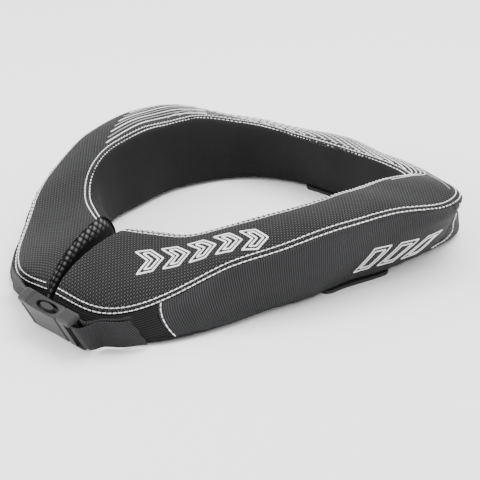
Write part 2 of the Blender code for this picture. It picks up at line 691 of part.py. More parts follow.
NODES = [
    foam_core(FOAM),
    panel_skin("top_cover", "top", 0, END, WOVEN),
    panel_skin("neck_lining", "lining", 0, END, SMOOTH),
    panel_skin("base_cover", "base", 0, END, SMOOTH),
    panel_skin("front_panel_right", "side", 0, FRONT_SEAM, SMOOTH),
    panel_skin("side_band_right", "side", FRONT_SEAM, REAR_SEAM, RIBBED),
    panel_skin("rear_band", "side", REAR_SEAM, END - REAR_SEAM, RIBBED),
    panel_skin("side_band_left", "side", END - REAR_SEAM, END - FRONT_SEAM, RIBBED),
    panel_skin("front_panel_left", "side", END - FRONT_SEAM, END, SMOOTH),
    end_mesh("end_mesh_right", 1, MESH),
    end_mesh("end_mesh_left", -1, MESH),
    strap_right(WEB),
    strap_left(WEB),
]
add_patches(RUBBER)
for half_of_buckle in (socket(), clip()):
    half_of_buckle.matrix_world = buckle_frame()
    NODES.append(half_of_buckle)
    for change in half_of_buckle.modifiers:
        if change.type == "BOOLEAN":
            change.object.matrix_world = buckle_frame()
NODES += [thing for thing in bpy.data.objects if thing.name.startswith("grip_patch")]
set_down(NODES)
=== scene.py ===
# %% [markdown]
# A padded race collar. The CAD model gives every piece its size and place, and this script gives
# each one its look: the cloth, the seams, the thread, the webbing and the plastic.
# It starts by loading the packed model, which stays fixed while everything is built around it.

# %% Load the frame
import math
from collections import namedtuple

import bmesh
import bpy
import numpy as np
from mathutils import Matrix, Vector, noise
from mathutils.bvhtree import BVHTree


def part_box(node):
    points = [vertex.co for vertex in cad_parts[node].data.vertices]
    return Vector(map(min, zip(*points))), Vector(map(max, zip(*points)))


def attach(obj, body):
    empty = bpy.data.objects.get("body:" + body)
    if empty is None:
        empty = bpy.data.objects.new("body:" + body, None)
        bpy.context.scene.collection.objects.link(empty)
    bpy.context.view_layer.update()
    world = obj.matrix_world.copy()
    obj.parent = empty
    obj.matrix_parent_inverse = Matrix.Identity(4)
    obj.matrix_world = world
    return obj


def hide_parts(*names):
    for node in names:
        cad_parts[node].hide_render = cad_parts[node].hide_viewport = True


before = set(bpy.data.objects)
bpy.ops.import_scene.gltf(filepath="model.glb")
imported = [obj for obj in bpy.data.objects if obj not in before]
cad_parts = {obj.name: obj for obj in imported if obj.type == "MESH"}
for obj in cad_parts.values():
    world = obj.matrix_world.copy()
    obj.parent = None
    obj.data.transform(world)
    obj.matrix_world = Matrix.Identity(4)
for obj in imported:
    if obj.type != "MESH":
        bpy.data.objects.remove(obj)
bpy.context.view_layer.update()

print("nodes:", sorted(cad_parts))

# %% [markdown]
# The collar is a ring of foam that is nowhere straight and nowhere quite round. It could be sculpted
# by hand, but the CAD model describes it as fifteen sections, each an angle from the front with shares
# of a few sizes, and a smooth curve through each column. Building the cloth from the same table makes
# it fit its solid exactly.

# %% The ring's sections
NECK_RADIUS, PAD_WIDTH, PAD_HEIGHT = 0.100, 0.050, 0.050
CROWN, SIDE_SWELL, LIP = 0.004, 0.004, 0.012
NECK_GAP, FRONT_GAP = 0.024, 0.0074  # between the arm ends
BASE_LIFT = 0.0025  # the patches hold the base off the floor
Row = namedtuple("Row", "angle neck pad neck_height outer_height base_in base_out lip crown")
SECTIONS = (
    Row(0, 1.00, 1.03, 0.84, 0.24, -0.05, 0.04, 1.0, 2.0),
    Row(15, 0.94, 1.15, 0.84, 0.20, -0.02, 0.03, 1.0, 1.8),
    Row(30, 0.89, 0.95, 0.82, 0.40, -0.02, 0.14, 0.8, 1.4),
    Row(45, 0.86, 0.78, 0.92, 0.68, -0.02, 0.10, 0.4, 1.1),
    Row(60, 0.84, 0.72, 1.00, 0.80, -0.04, -0.08, 0.2, 1.0),
    Row(75, 0.84, 0.74, 1.04, 0.92, -0.05, -0.21, 0.2, 1.0),
    Row(90, 0.86, 0.82, 1.05, 0.97, -0.07, -0.35, 0.2, 1.0),
    Row(103, 0.91, 0.97, 1.05, 0.96, -0.07, -0.41, 0.2, 1.0),
    Row(113, 0.97, 1.18, 1.02, 0.89, -0.06, -0.55, 0.2, 1.0),
    Row(121, 1.05, 1.15, 1.00, 0.87, -0.12, -0.46, 0.2, 1.0),
    Row(130, 1.18, 0.80, 0.94, 0.80, -0.26, -0.02, 0.2, 1.0),
    Row(140, 1.27, 0.58, 0.82, 0.66, -0.30, 0.24, 0.2, 1.0),
    Row(150, 1.19, 0.56, 0.82, 0.65, -0.06, 0.25, 0.2, 1.0),
    Row(165, 1.10, 0.68, 0.81, 0.60, 0.14, 0.16, 0.2, 1.0),
    Row(180, 1.03, 0.92, 0.84, 0.60, 0.24, 0.00, 0.2, 1.0),
)
COLUMNS = {name: np.array([getattr(row, name) for row in SECTIONS], float) for name in Row._fields}


def spline(values, at):
    """A cubic through a column that runs level at both ends."""
    knots = COLUMNS["angle"]
    gap = np.diff(knots)
    rise = np.diff(values) / gap
    count = len(knots)
    smooth, wanted = np.eye(count), np.zeros(count)
    for i in range(1, count - 1):
        smooth[i, i - 1 : i + 2] = gap[i], 2 * (gap[i - 1] + gap[i]), gap[i - 1]
        wanted[i] = 3 * (gap[i] * rise[i - 1] + gap[i - 1] * rise[i])
    slope = np.linalg.solve(smooth, wanted)
    i = np.clip(np.searchsorted(knots, at) - 1, 0, count - 2)
    t = (at - knots[i]) / gap[i]
    start = values[i] * (1 + 2 * t) * (1 - t) ** 2 + slope[i] * gap[i] * t * (1 - t) ** 2
    return start + values[i + 1] * (3 - 2 * t) * t**2 + slope[i + 1] * gap[i] * (t - 1) * t**2


def share(column, angle):
    """A column of SECTIONS at an angle from 0 to 360 degrees, counted from the front by the right arm."""
    return spline(COLUMNS[column], 180 - np.abs(180 - angle))


def corners(angle):
    """Radius and height of the section's four corners. 0 * neck is a zero for each angle."""
    neck = NECK_RADIUS * share("neck", angle)
    outer = neck + PAD_WIDTH * share("pad", angle)
    return {
        "neck seam": (neck, PAD_HEIGHT * share("neck_height", angle)),
        "outer seam": (outer, PAD_HEIGHT * share("outer_height", angle)),
        "outer base": (outer + PAD_WIDTH * share("base_out", angle), 0 * neck),
        "inner base": (neck + PAD_WIDTH * share("base_in", angle), 0 * neck),
    }


ENDS = {
    "lining": ("inner base", "neck seam"),
    "top": ("neck seam", "outer seam"),
    "side": ("outer seam", "outer base"),
    "base": ("outer base", "inner base"),
}
print(len(SECTIONS), "sections; the neck is", 2 * corners(90.0)["neck seam"][0], "m wide at the sides")

# %% [markdown]
# A panel is a patch of the ring between two corners of the section. A point on it is named by an
# angle and by t, which runs from 0 at its first seam to 1 at its second. The right arm's foot sags
# outwards, as loose foam does, so that is added to its side and base.

# %% Points on the panels
FOOT_SAG, SAG_ANGLE, SAG_SPREAD = 0.0135, 26.0, 14.5  # metres, degrees, degrees
SEAM_SAG, SEAM_DROP = 0.0030, 0.0012  # of the outer seam above that foot, outwards and down
FOOT_BEND = 1.5  # more than 1 keeps the sag low on the side
CROWN_SHIFT = 1.25  # more than 1 moves the top's crown towards its outer seam
SWELL_ROUND = 0.75  # less than 1 makes a swell steeper at its seams
END_GUESS, END_TRIES = 3.0, 12  # degrees, and how often the guess is corrected


def swell(t):
    """0 at a seam and 1 midway."""
    return (4 * np.clip(t * (1 - t), 0, 1)) ** SWELL_ROUND


def section(panel, t, angle):
    """Radius and height of points on a panel."""
    corner = corners(angle)
    (r0, z0), (r1, z1) = (corner[name] for name in ENDS[panel])
    r, z = r0 + (r1 - r0) * t, z0 + (z1 - z0) * t
    if panel == "lining":
        r = r - LIP * share("lip", angle) * swell(t)
    if panel == "top":
        z = z + CROWN * share("crown", angle) * swell(t**CROWN_SHIFT)
    if panel == "side":
        r = r + SIDE_SWELL * share("outer_height", angle) * swell(t)
    foot = {"side": t**FOOT_BEND, "base": 1 - t}.get(panel, 0 * t)
    seam = {"side": 1 - t, "top": t**2}.get(panel, 0 * t)
    sag = np.exp(-(((angle - SAG_ANGLE) / SAG_SPREAD) ** 2))
    return r + sag * (FOOT_SAG * foot + SEAM_SAG * seam), z - sag * SEAM_DROP * seam


def around(r, angle, z):
    """Points in the frame from a radius, an angle and a height above the base."""
    turn = np.radians(angle)
    return np.stack([r * np.sin(turn), -r * np.cos(turn), z + BASE_LIFT + 0 * turn], -1) + RING


def place(panel, t, angle):
    """Points in the frame from a panel's own t and angle."""
    r, z = section(panel, t, angle)
    return around(r, angle, z)


def right_end(panel, t):
    """The angle at which each point of a panel meets the plane of the right arm's end."""
    angle = np.full_like(t, END_GUESS)
    for _ in range(END_TRIES):
        r = section(panel, t, angle)[0]
        ahead = (r * np.cos(np.radians(angle)) - NECK_RADIUS) / PAD_WIDTH
        angle = np.degrees(np.arcsin((NECK_GAP + (FRONT_GAP - NECK_GAP) * ahead) / 2 / r))
    return angle


RING = np.zeros(3)  # a first value, so that the next line can measure the ring about its own centre
deepest = place("side", np.linspace(0, 1, 21), np.full(21, 180.0))[:, 1].max()
RING = np.array((0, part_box("rear_band")[1].y - deepest, 0))
print("the ring's centre is at y =", round(RING[1], 4))

# %% [markdown]
# The camera comes early, because everything after it is judged through it. Its angle, height and
# distance are those at which the photo was taken: 43 degrees round from the buckle, looking down by
# 24 degrees, from about a metre away through a long lens. It is turned by three directions, its own
# right, up and back, which is exact, where a tracking constraint could roll it.

# %% Camera
AZIMUTH, ELEVATION = math.radians(42.7), math.radians(24.0)
DISTANCE = 0.960
FOCAL_LENGTH, SENSOR = 104.1, 36.0  # millimetres
AIM_RIGHT, AIM_UP = 0.0135, -0.0021  # the picture's middle, off the ring's centre
level = math.cos(ELEVATION)
back = Vector((math.sin(AZIMUTH) * level, -math.cos(AZIMUTH) * level, math.sin(ELEVATION)))
right = Vector((math.cos(AZIMUTH), math.sin(AZIMUTH), 0))
lens = bpy.data.cameras.new("camera")
lens.lens, lens.sensor_width = FOCAL_LENGTH, SENSOR
camera = bpy.data.objects.new("camera", lens)
bpy.context.scene.collection.objects.link(camera)
middle = Vector(RING) + Vector((0, 0, BASE_LIFT)) + right * AIM_RIGHT + back.cross(right) * AIM_UP
camera.location = middle + back * DISTANCE
camera.rotation_euler = Matrix((right, back.cross(right), back)).transposed().to_euler()
bpy.context.scene.camera = camera
print("camera at", [round(c, 3) for c in camera.location])

# %% [markdown]
# Every finish here is procedural: it is worked out from a point's place, and no picture is read.
# Nodes could be placed one by one in the shader editor. This small class adds them from code instead,
# each method giving back an output socket, so that a weave reads as a formula.

# %% A way to write materials
DRIFT_SCALE, DRIFT_SHARE, DRIFT_LEAST = 38.0, 0.5, 0.75


class Finish:
    """A material in the making. Each method adds a node and gives back its output."""

    def __init__(self, name, roughness, **shader):
        self.material = bpy.data.materials.new(name)
        self.material.use_nodes = True
        self.tree = self.material.node_tree
        self.shader = self.tree.nodes["Principled BSDF"]
        self.shader.inputs["Roughness"].default_value = roughness
        for socket, value in shader.items():
            self.shader.inputs[socket.replace("_", " ")].default_value = value

    def node(self, kind, inputs, output=0, **settings):
        made = self.tree.nodes.new("ShaderNode" + kind)
        for setting, value in settings.items():
            setattr(made, setting, value)
        for key, value in inputs.items():
            if isinstance(value, bpy.types.NodeSocket):
                self.tree.links.new(value, made.inputs[key])
            else:
                made.inputs[key].default_value = value
        return made.outputs[output]

    def math(self, operation, a, b=0.0, c=0.0):
        return self.node("Math", {0: a, 1: b, 2: c}, operation=operation)

    def times(self, a, b):
        return self.math("MULTIPLY", a, b)

    def plus(self, a, b):
        return self.math("ADD", a, b)

    def blend(self, share_of_b, a, b):
        share_of_a = self.math("SUBTRACT", 1.0, share_of_b)
        return self.plus(self.times(a, share_of_a), self.times(b, share_of_b))

    def cloth_axes(self, pitch):
        """Places along and across the cloth, counted in threads."""
        uv = self.node("UVMap", {}, uv_map="cloth")
        split = self.tree.nodes.new("ShaderNodeSeparateXYZ")
        self.tree.links.new(uv, split.inputs[0])
        return [self.math("DIVIDE", split.outputs[k], pitch) for k in (0, 1)]

    def ridge(self, at):
        """A rounded ridge for each whole number, from 0 to 1."""
        return self.math("ABSOLUTE", self.math("SINE", self.times(at, math.pi)))

    def object_place(self):
        return self.node("TexCoord", {}, output=3)

    def noise(self, scale, detail=2.0):
        return self.node("TexNoise", {"Vector": self.object_place(), "Scale": scale, "Detail": detail})

    def colour(self, fac, dark, light):
        """Colours the cloth from dark to light, with a slow drift so that it isn't even."""
        drift = self.math("MULTIPLY_ADD", self.noise(DRIFT_SCALE), DRIFT_SHARE, DRIFT_LEAST)
        ramp = self.node("Mix", {0: fac, 6: (*dark, 1), 7: (*light, 1)}, output=2, data_type="RGBA")
        drifting = self.node("VectorMath", {0: ramp, 1: drift}, operation="MULTIPLY")
        self.tree.links.new(drifting, self.shader.inputs["Base Color"])

    def bump(self, height, distance, strength=1.0):
        made = self.node("Bump", {"Height": height, "Distance": distance, "Strength": strength})
        self.tree.links.new(made, self.shader.inputs["Normal"])


print("a finish can use:", [name for name in vars(Finish) if not name.startswith("_")])

# %% [markdown]
# The top is coarse ballistic nylon. Its threads cross in a basket weave, over and under by turns, and
# it was cut flat, so the weave keeps one direction all over. The bands round the sides are ribbed
# from top to bottom, and the lining that touches the neck is smooth. Threads this fine would take
# millions of faces, so they are made in the finish, from ridges that rise and fall with the UV map.

# %% Cloth finishes
WEAVE_PITCH, RIB_PITCH = 0.00135, 0.0015  # metres from thread to thread

woven = Finish("woven nylon", 0.6, Specular_IOR_Level=0.12)
u, v = woven.cloth_axes(WEAVE_PITCH)
over = woven.math("MODULO", woven.plus(woven.math("FLOOR", u), woven.math("FLOOR", v)), 2.0)
over = woven.math("ABSOLUTE", over)
warp, weft = woven.ridge(u), woven.ridge(v)
shoulder = woven.math("MULTIPLY_ADD", woven.times(warp, weft), 0.6, 0.4)
threads = woven.times(woven.blend(over, weft, warp), shoulder)
# painted sheen: the threads that lie over are painted lighter
painted_sheen = woven.plus(0.55, woven.times(over, 0.45))
# the colour is darkest in the gaps between threads, which is painted shade
tone = woven.math("POWER", woven.times(threads, painted_sheen), 1.7)
woven.colour(tone, (0.001, 0.001, 0.001), (0.080, 0.080, 0.083))
woven.bump(threads, 0.0004)

ribbed = Finish("ribbed cloth", 0.65, Specular_IOR_Level=0.15)
u, v = ribbed.cloth_axes(RIB_PITCH)
fleck = ribbed.plus(0.7, ribbed.times(ribbed.ridge(ribbed.times(v, 1.7)), 0.3))
fleck = ribbed.times(ribbed.ridge(u), fleck)
ribbed.colour(fleck, (0.002, 0.002, 0.002), (0.034, 0.034, 0.036))
ribbed.bump(fleck, 0.0004)

dark_ribbed = Finish("dark ribbed cloth", 0.7, Specular_IOR_Level=0.1)
rib = dark_ribbed.ridge(dark_ribbed.cloth_axes(RIB_PITCH)[1])
dark_ribbed.colour(rib, (0.002, 0.002, 0.002), (0.014, 0.014, 0.015))
dark_ribbed.bump(rib, 0.0003)

smooth = Finish("smooth lining", 0.8, Specular_IOR_Level=0.2)
grain = smooth.noise(900.0, 4.0)
smooth.colour(grain, (0.002, 0.002, 0.002), (0.009, 0.009, 0.010))
smooth.bump(grain, 0.0002)
print("cloth finishes:", [finish.material.name for finish in (woven, ribbed, dark_ribbed, smooth)])

# %% [markdown]
# Spacer mesh is a thick open knit that lets air through. Its pale lumps stand in slanting rows, which
# two crossed rows of ridges give, and a number kept at each point darkens them to black below the
# pad's upper edge, as painted shade. The webbing is a narrow, stiff weave whose ribs run aslant, as a
# herringbone's do.

# %% Net and webbing
NET_PITCH = 0.0053
WEB_PITCH, WEB_SLANT = 0.0015, 0.6

net = Finish("spacer mesh", 0.7, Specular_IOR_Level=0.1)
u, v = net.cloth_axes(NET_PITCH)
crossing = net.times(net.ridge(net.plus(u, v)), net.ridge(net.math("SUBTRACT", u, v)))
# painted shade: a number at each point darkens the net to black below the pad's upper edge
painted_light_share = net.node("Attribute", {}, 2, attribute_name="net")
lump_with_painted_shade = net.times(net.math("POWER", crossing, 1.2), painted_light_share)
net.colour(lump_with_painted_shade, (0.001, 0.001, 0.001), (0.16, 0.16, 0.16))
net.bump(lump_with_painted_shade, 0.0010)

web = Finish("webbing", 0.6, Specular_IOR_Level=0.12)
u, v = web.cloth_axes(WEB_PITCH)
yarn = web.plus(0.65, web.times(web.ridge(web.times(v, 1.6)), 0.35))
yarn = web.times(web.ridge(web.plus(u, web.times(v, WEB_SLANT))), yarn)
web.colour(yarn, (0.001, 0.001, 0.001), (0.036, 0.036, 0.038))
web.bump(yarn, 0.0005)
print("net and webbing:", net.material.name, "and", web.material.name)

# %% [markdown]
# Thread is a matt white or grey, with a little sheen from its fibres. The buckle is satin plastic with
# a fine texture, the patches underneath are rubber, and the core is open foam. The buckle, the patches
# and the core already have their final shape in the CAD model, so they only get a material.

# %% Thread, plastic, rubber and foam


def thread_finish(name, shade):
    made = Finish(name, 0.55, Sheen_Weight=0.2)
    strand = made.noise(1400.0, 3.0)
    made.colour(strand, [shade * 0.8] * 3, [shade * 1.05] * 3)
    made.bump(strand, 0.0002)
    return made


white_thread = thread_finish("white thread", 0.85)
grey_thread = thread_finish("grey thread", 0.26)

plastic = Finish("moulded plastic", 0.4, Specular_IOR_Level=0.22)
speckle = plastic.noise(1100.0, 4.0)
plastic.colour(speckle, (0.016, 0.016, 0.017), (0.025, 0.025, 0.026))
plastic.bump(speckle, 0.00005)

rubber = Finish("grip rubber", 0.75)
grit = rubber.noise(1600.0, 2.0)
rubber.colour(grit, (0.002, 0.002, 0.002), (0.008, 0.008, 0.008))
rubber.bump(grit, 0.0003)

foam = Finish("open foam", 0.95)
cells = foam.node("TexVoronoi", {"Vector": foam.object_place(), "Scale": 700.0})
foam.colour(cells, (0.16, 0.16, 0.15), (0.34, 0.34, 0.33))
foam.bump(cells, 0.0006)

CARRIED_OVER = {
    "buckle_socket": plastic, "buckle_clip": plastic, "foam_core": foam,
    "grip_patch_right": rubber, "grip_patch_left": rubber, "grip_patch_back": rubber,
}
for node, finish in CARRIED_OVER.items():
    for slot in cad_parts[node].material_slots:
        slot.material = finish.material
print("carried-over nodes with a finish:", len(CARRIED_OVER))

# %% [markdown]
# One builder makes every mesh here from points and faces, and ties it to the part: the body it rides
# on and the CAD node that it takes the place of. Its UV map is in metres along and across the cloth,
# so that a thread has the same size on every piece.

# %% Build, and attach


def build(name, points, faces, finish, replaced=None, uv=None):
    mesh = bpy.data.meshes.new(name)
    mesh.from_pydata([tuple(p) for p in points], [], faces)
    bm = bmesh.new()
    bm.from_mesh(mesh)
    bmesh.ops.recalc_face_normals(bm, faces=bm.faces)
    bm.to_mesh(mesh)
    bm.free()
    if uv is not None:
        corner = np.zeros(len(mesh.loops), np.int32)
        mesh.loops.foreach_get("vertex_index", corner)
        mesh.uv_layers.new(name="cloth").data.foreach_set("uv", uv[corner].astype(np.float32).ravel())
    mesh.shade_smooth()
    mesh.materials.append(finish.material)
    made = bpy.data.objects.new(name, mesh)
    bpy.context.scene.collection.objects.link(made)
    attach(made, "root")
    if replaced:
        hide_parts(replaced)
    return made


def grid_faces(first, rows, columns):
    """Four-sided faces over a grid of numbered points."""
    at = first + np.arange(rows * columns).reshape(rows, columns)
    return np.stack([at[:-1, :-1], at[1:, :-1], at[1:, 1:], at[:-1, 1:]], 2).reshape(-1, 4).tolist()


def closed_sheet(outside, inside):
    """Points and faces of a sheet with a thickness, from its two sides as grids of the same shape."""
    rows, columns = outside.shape[:2]
    count = rows * columns
    faces = grid_faces(0, rows, columns) + grid_faces(count, rows, columns)
    at = np.arange(count).reshape(rows, columns)
    rim = [int(k) for k in (*at[0, :-1], *at[:-1, -1], *at[-1, :0:-1], *at[:0:-1, 0])]
    faces += [[a, b, b + count, a + count] for a, b in zip(rim, rim[1:] + rim[:1])]
    return np.concatenate([outside.reshape(-1, 3), inside.reshape(-1, 3)]), faces


print("a sheet of 2 by 2 points has", len(closed_sheet(np.zeros((2, 2, 3)), np.ones((2, 2, 3)))[1]), "faces")

# %% [markdown]
# Now the cloth. A sewn panel isn't flat between its seams: it turns in at each seam, dips a little
# under every row of stitching, ripples where the thread gathers it, and wavers and folds over the
# foam. A cloth simulation could find such shapes, but the cover is tight and the stitches have to meet
# it, so each is a small move in code, along the cloth's own normals.

# %% How sewn cloth moves
CLOTH = 0.0009  # metres thick
SEAM_DEPTH, SEAM_WIDTH = 0.0007, 0.0016
ROW_DEPTH, ROW_WIDTH = 0.00045, 0.0011
WAVER, WAVER_SIZE, WAVER_START = 0.0009, 0.040, 7.0
LONG_GATHER, SHORT_GATHER = (0.009, 3.0), (0.004, 9.0)  # each a size, and where its noise starts
GATHER_STRETCH = 0.3  # gathers are this much finer along a seam than across it
PUCKER_REACH = 0.007
FOLD_LONG, FOLD_HIGH, FOLD_START = 0.070, 0.013, 20.0  # metres along and across
Surface = namedtuple("Surface", "points normals along across")


def run_lengths(points, axis):
    """How far along the cloth each point of a grid lies, counted in one direction."""
    step = np.linalg.norm(np.diff(points, axis=axis), axis=2)
    return np.concatenate([np.zeros_like(np.take(step, [0], axis)), np.cumsum(step, axis)], axis)


def outward_normals(points, inner):
    """Normals of a grid of points, all on the side away from the points inside."""
    normal = np.cross(np.gradient(points, axis=0), np.gradient(points, axis=1))
    normal /= np.linalg.norm(normal, axis=2, keepdims=True)
    return normal * np.sign((normal * (points - inner)).sum())


def ripple(at, size, start):
    """Smooth noise from -1 to 1 over a grid of points, in lumps of about a size."""
    shift = Vector((start, 0, 0))
    heights = [noise.noise(Vector(p) / size + shift) for p in at.reshape(-1, 3)]
    return np.array(heights).reshape(at.shape[:2])


def cloth_panel(
    name, panel, start, end, counts, finish, replaced,
    rows=(), pucker=0.0, fold=0.0, flat_weave=False,
):
    """A panel between two lines of angles, which start(t) and end(t) give."""
    t = np.linspace(0, 1, counts[1] + 1)
    s = np.linspace(0, 1, counts[0] + 1)[:, None]
    angle = start(panel, t) + (end(panel, t) - start(panel, t)) * s
    points = place(panel, t, angle)
    neck, outer = corners(angle)["neck seam"], corners(angle)["outer seam"]
    inner = around((neck[0] + outer[0]) / 2, angle, outer[1] / 2)
    normals = outward_normals(points, inner)
    across = run_lengths(points, 1)
    along = run_lengths(points, 0)
    edge = np.minimum(across, across[:, -1:] - across)
    moved = -SEAM_DEPTH * np.exp(-((edge / SEAM_WIDTH) ** 2))
    for row in rows:
        moved -= ROW_DEPTH * np.exp(-(((edge - row) / ROW_WIDTH) ** 2))
    moved += WAVER * ripple(points, WAVER_SIZE, WAVER_START)
    gathers = np.stack([along, GATHER_STRETCH * edge, 0 * edge], 2)
    gathered = ripple(gathers, *LONG_GATHER) + 0.5 * ripple(gathers, *SHORT_GATHER)
    moved += pucker * np.exp(-edge / PUCKER_REACH) * gathered
    folds = np.stack([along / FOLD_LONG, across / FOLD_HIGH, 0 * edge], 2)
    moved += fold * ripple(folds, 1.0, FOLD_START) * np.clip(edge / PUCKER_REACH, 0, 1)
    points = points + normals * moved[..., None]
    vertices, faces = closed_sheet(points, points - normals * CLOTH)
    uv = points[..., :2] if flat_weave else np.stack([along, across], 2)
    uv = np.tile(uv.reshape(-1, 2), (2, 1))
    made = build(name, vertices, faces, finish, replaced, uv)
    return made, Surface(points, outward_normals(points, inner), along, across)


print("cloth", CLOTH * 1000, "mm thick, with dips of", ROW_DEPTH * 1000, "mm under its stitches")

# %% [markdown]
# The side is sewn from three lengths of ribbed band and two small dark panels at the front. The seams
# between them lean back towards the floor, and the left ones mirror the right ones. Each panel is a
# grid that is as fine as its weave and its stitches need, so the top has the most points.

# %% Cut and sew the panels
FRONT_SEAM, FRONT_LEAN = 28.3, 4.9  # degrees at its top, and further round at its foot
REAR_SEAM, REAR_LEAN, REAR_BOW = 114.6, 9.4, 5.0
ROWS = (0.0011, 0.0044)  # the two rows of stitching along a top seam, from its edge


def front_seam(panel, t):
    return FRONT_SEAM + FRONT_LEAN * t**2


def rear_seam(panel, t):
    return REAR_SEAM + REAR_LEAN * t + REAR_BOW * (4 * t * (1 - t))


def mirrored(line):
    return lambda panel, t: 360 - line(panel, t)


left_end = mirrored(right_end)
left_front_seam, left_rear_seam = mirrored(front_seam), mirrored(rear_seam)
top_cloth, top = cloth_panel(
    "top_cloth", "top", right_end, left_end, (620, 46),
    woven, "top_cover", rows=ROWS, pucker=0.0003, flat_weave=True,
)
lining_cloth, _ = cloth_panel(
    "lining_cloth", "lining", right_end, left_end, (420, 22),
    smooth, "neck_lining", pucker=0.0002,
)
cloth_panel("base_cloth", "base", right_end, left_end, (300, 16), smooth, "base_cover")
band_right, side_right = cloth_panel(
    "band_right", "side", front_seam, rear_seam, (220, 30),
    ribbed, "side_band_right", pucker=0.0007, fold=0.0017,
)
band_left, side_left = cloth_panel(
    "band_left", "side", left_rear_seam, left_front_seam, (180, 24),
    ribbed, "side_band_left", pucker=0.0007, fold=0.0017,
)
band_back, side_back = cloth_panel(
    "band_back", "side", rear_seam, left_rear_seam, (220, 24),
    ribbed, "rear_band", pucker=0.0005, fold=0.0012,
)
cloth_panel(
    "front_right", "side", right_end, front_seam, (70, 14),
    dark_ribbed, "front_panel_right", pucker=0.0005, fold=0.0012,
)
cloth_panel(
    "front_left", "side", left_front_seam, left_end, (70, 14),
    dark_ribbed, "front_panel_left", pucker=0.0005,
)
print("top cloth:", len(top_cloth.data.vertices), "points")

# %% [markdown]
# Each arm ends in a pad of spacer mesh, which swells towards the other arm. It is made as rings that
# shrink from the end's outline to its middle, because a grid wouldn't follow that outline. The net is
# painted darker below its upper edge, fading to black as painted shade, by a number that each point keeps for
# the finish.

# %% Mesh pads on the arm ends
PAD_SWELL, PAD_RINGS, PAD_THICK = 0.35, 14, 0.003
PAD_POINTS = 16  # along each edge of the outline
PAD_INSET = 0.0012  # from the end's outline inwards
PAD_MIDDLE = 0.04  # the share of the outline at which the rings stop
# painted shade on the net starts this deep below the pad's upper edge, and fades to black over the second
# length
PAINTED_SHADE_DEPTH, PAINTED_SHADE_FADE = 0.0045, 0.004  # below the pad's upper edge


def end_pad(name, line, side, replaced):
    t = np.linspace(0, 1, PAD_POINTS + 1)
    rim = np.concatenate([place(panel, t[:-1], line(panel, t[:-1])) for panel in ENDS])
    centre = rim.mean(0)
    rim = rim + (centre - rim) * (PAD_INSET / np.linalg.norm(centre - rim, axis=1, keepdims=True))
    rings = []
    for q in np.linspace(1, PAD_MIDDLE, PAD_RINGS):
        ring = centre + (rim - centre) * q
        ring[:, 0] -= side * np.abs(ring[:, 0]) * PAD_SWELL * math.sqrt(1 - q * q)
        rings.append(ring)
    outer = np.stack([np.append(ring, ring[:1], 0) for ring in rings])
    deep = np.array((side * PAD_THICK, 0, 0))
    behind = outer[0] + deep
    back_rings = [centre + deep + (behind - centre - deep) * q for q in (1, PAD_MIDDLE)]
    points = np.concatenate([outer[::-1], np.stack(back_rings)])
    uv = points[..., 1:].reshape(-1, 2)
    faces = grid_faces(0, *points.shape[:2])
    made = build(name, points.reshape(-1, 3), faces, net, replaced, uv)
    upper = place("top", t, line("top", t))
    order = upper[:, 1].argsort()
    below = np.interp(uv[:, 0], upper[order, 1], upper[order, 2]) - uv[:, 1]
    # painted shade: 1 keeps the net's lumps bright, 0 paints them black
    painted_light_share = np.clip(1 - (below - PAINTED_SHADE_DEPTH) / PAINTED_SHADE_FADE, 0, 1)
    made.data.attributes.new("net", "FLOAT", "POINT").data.foreach_set("value", painted_light_share)
    return made


mesh_right = end_pad("mesh_right", right_end, 1, "end_mesh_right")
mesh_left = end_pad("mesh_left", left_end, -1, "end_mesh_left")
print("mesh pads:", mesh_right.name, "and", mesh_left.name)

# %% [markdown]
# Thread. A stitch is a short rope that comes up out of the cloth, bows and goes down again. A curve
# object with a bevel could draw it, but hundreds of them would be slow, so one function makes a bowed
# tube along given points, and a row is many tubes joined in one mesh.

# %% A bundle of threads
SIDES = 6  # of a tube
TAPER = 0.5  # the size of a stitch's ends
BOW = (-0.2, 0.35, 0.45, 0.35, -0.2)  # a stitch's height along its length, in thread widths


class Bundle:
    """Many small bodies that become one mesh."""

    def __init__(self):
        self.points, self.faces, self.count = [], [], 0

    def tube(self, path, normals, width, height, closed=False, taper=False):
        """A flattened tube along a path that lies on the cloth."""
        ahead = np.gradient(path, axis=0)
        if closed:
            ahead = np.roll(path, -1, 0) - np.roll(path, 1, 0)
        side = np.cross(ahead, normals)
        side /= np.linalg.norm(side, axis=1, keepdims=True)
        size = np.ones(len(path))
        if taper:
            size[0] = size[-1] = TAPER
        turn = 2 * np.pi * np.arange(SIDES) / SIDES
        aside = side[:, None] * (np.cos(turn) * width / 2)[:, None]
        above = normals[:, None] * (np.sin(turn) * height / 2)[:, None]
        points = path[:, None] + (aside + above) * size[:, None, None]
        rows = len(path)
        at = self.count + np.arange(rows * SIDES).reshape(rows, SIDES)
        for k in range(rows if closed else rows - 1):
            a, b = at[k], at[(k + 1) % rows]
            self.faces += [[int(a[i]), int(b[i]), int(b[i - 1]), int(a[i - 1])] for i in range(SIDES)]
        if not closed:
            self.faces += [[int(i) for i in at[0]], [int(i) for i in at[-1]]]
        self.points.append(points.reshape(-1, 3))
        self.count += rows * SIDES

    def stitches(self, path, normals, pitch, length, width):
        """A row of stitches along a path, each bowed up from the cloth."""
        passed = np.append(0, np.cumsum(np.linalg.norm(np.diff(path, axis=0), axis=1)))
        bow = np.array(BOW) * width
        for start in np.arange(pitch - length, passed[-1] - length, pitch):
            at = start + length * np.linspace(0, 1, len(bow))
            centre = np.stack([np.interp(at, passed, path[:, k]) for k in range(3)], 1)
            up = np.stack([np.interp(at, passed, normals[:, k]) for k in range(3)], 1)
            up /= np.linalg.norm(up, axis=1, keepdims=True)
            self.tube(centre + up * bow[:, None], up, width, width, taper=True)

    def finish(self, name, finish, record_slot):
        return build(name, np.concatenate(self.points), self.faces, finish)


print("a thread has", SIDES, "sides")

